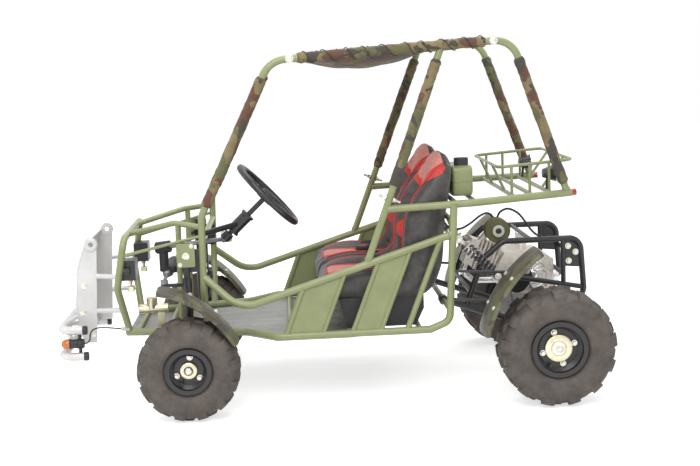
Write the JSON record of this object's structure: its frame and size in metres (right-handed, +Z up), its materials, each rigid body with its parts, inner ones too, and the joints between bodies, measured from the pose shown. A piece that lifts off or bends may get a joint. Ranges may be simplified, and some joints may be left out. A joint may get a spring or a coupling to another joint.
{
  "type": "two-seat off-road go-kart",
  "caption": "Off-road go-kart with a painted tube frame, bucket seats side by side, padded roll cage with a cloth roof, lugged tyres, rear engine and a front bumper.",
  "frame": {"origin": "on the ground, at the middle of the length and of the width", "axes": "+X forward, +Y to the driver's left, +Z up"},
  "size_m": [1.945, 1.155, 1.2736],
  "materials": {
    "army_paint": "satin",
    "black_paint": "satin",
    "silver_paint": "satin",
    "floor_metal": "matte",
    "plain_steel": "brushed",
    "chain_steel": "oiled",
    "exhaust_steel": "satin",
    "engine_alloy": "cast",
    "black_plastic": "matte",
    "camo_plastic": "satin",
    "clear_lens": "gloss",
    "amber_lens": "gloss",
    "red_lens": "gloss",
    "camo_fabric": "woven",
    "seat_fabric": "soft",
    "filter_foam": "matte",
    "tyre_rubber": "matte"
  },
  "bodies": {
    "chassis": {"sill_tubes": "army_paint", "cross_tubes": "army_paint", "floor_pan": "floor_metal", "side_rails": "army_paint", "frame_posts": "army_paint", "side_panels": "army_paint", "rack_rails": "army_paint", "roll_pillars": "army_paint", "roof_rails": "army_paint", "tube_sleeves": "camo_fabric", "roof_cover": "camo_fabric", "nose_hoop": "army_paint", "hood_rails": "army_paint", "front_suspension": "black_paint", "column_mount": "black_paint", "front_guard": "silver_paint", "guard_stays": "silver_paint", "bumper_bars": "silver_paint", "headlamps": "black_plastic", "lamp_lenses": "clear_lens", "indicator_bodies": "black_plastic", "indicator_lenses": "amber_lens", "seat_bases": "black_plastic", "left_seat": "seat_fabric", "right_seat": "seat_fabric", "fuel_tank": "army_paint", "tank_cap": "black_plastic", "basket_ring": "army_paint", "basket_uprights": "army_paint", "rear_lamps": "black_plastic", "tail_lamps": "red_lens", "engine": "engine_alloy", "air_filter": "filter_foam", "exhaust": "exhaust_steel", "engine_cage": "black_paint", "cage_bars": "black_paint", "swing_arms": "black_paint", "shocks": "black_paint", "chain": "chain_steel", "rear_mudguards": "camo_plastic", "pedals": "black_paint", "brake_cylinder": "engine_alloy", "steering_gear": "black_paint"},
    "steering": {"steering_wheel": "black_plastic"},
    "lower_steering": {"lower_shaft": "plain_steel"},
    "rack": {"steering_rack": "plain_steel"},
    "left_upright": {"left_knuckle": "black_paint", "left_front_mudguard": "camo_plastic"},
    "right_upright": {"right_knuckle": "black_paint", "right_front_mudguard": "camo_plastic"},
    "left_front_wheel": {"left_front_tyre": "tyre_rubber", "left_front_rim": "black_paint"},
    "right_front_wheel": {"right_front_tyre": "tyre_rubber", "right_front_rim": "black_paint"},
    "rear_wheels": {"rear_axle": "plain_steel", "rear_rims": "black_paint", "rear_tyres": "tyre_rubber"}
  },
  "joints": [
    {"name": "steering_turn", "type": "hinge", "parent": "chassis", "child": "steering", "pos_m": [0.206, 0.19, 0.74], "axis": [-0.7314, 0, 0.682], "range_deg": [-110, 110]},
    {"name": "lower_shaft_turn", "type": "hinge", "parent": "chassis", "child": "lower_steering", "pos_m": [0.37129, 0.19, 0.58587], "axis": [-0.9223, 0.363, 0.1326], "range_deg": [-112, 112]},
    {"name": "rack_slide", "type": "slide", "parent": "chassis", "child": "rack", "axis": [0, 1, 0], "range_m": [-0.0345, 0.0345]},
    {"name": "left_steer", "type": "hinge", "parent": "chassis", "child": "left_upright", "pos_m": [0.5, 0.335, 0.178], "axis": [0, 0, 1], "range_deg": [-25.5, 25.5]},
    {"name": "right_steer", "type": "hinge", "parent": "chassis", "child": "right_upright", "pos_m": [0.5, -0.335, 0.178], "axis": [0, 0, 1], "range_deg": [-25.5, 25.5]},
    {"name": "left_front_spin", "type": "hinge", "parent": "left_upright", "child": "left_front_wheel", "pos_m": [0.5, 0.455, 0.178], "axis": [0, 1, 0], "continuous": true},
    {"name": "right_front_spin", "type": "hinge", "parent": "right_upright", "child": "right_front_wheel", "pos_m": [0.5, -0.455, 0.178], "axis": [0, 1, 0], "continuous": true},
    {"name": "rear_axle_spin", "type": "hinge", "parent": "chassis", "child": "rear_wheels", "pos_m": [-0.77, 0, 0.203], "axis": [0, 1, 0], "continuous": true}
  ],
  "couplings": [
    {"joint": "lower_shaft_turn", "follows": "steering_turn", "ratio": 1},
    {"joint": "rack_slide", "follows": "steering_turn", "m_per_rad": 0.01761},
    {"joint": "left_steer", "follows": "steering_turn", "ratio": 0.2273},
    {"joint": "right_steer", "follows": "steering_turn", "ratio": 0.2273}
  ]
}
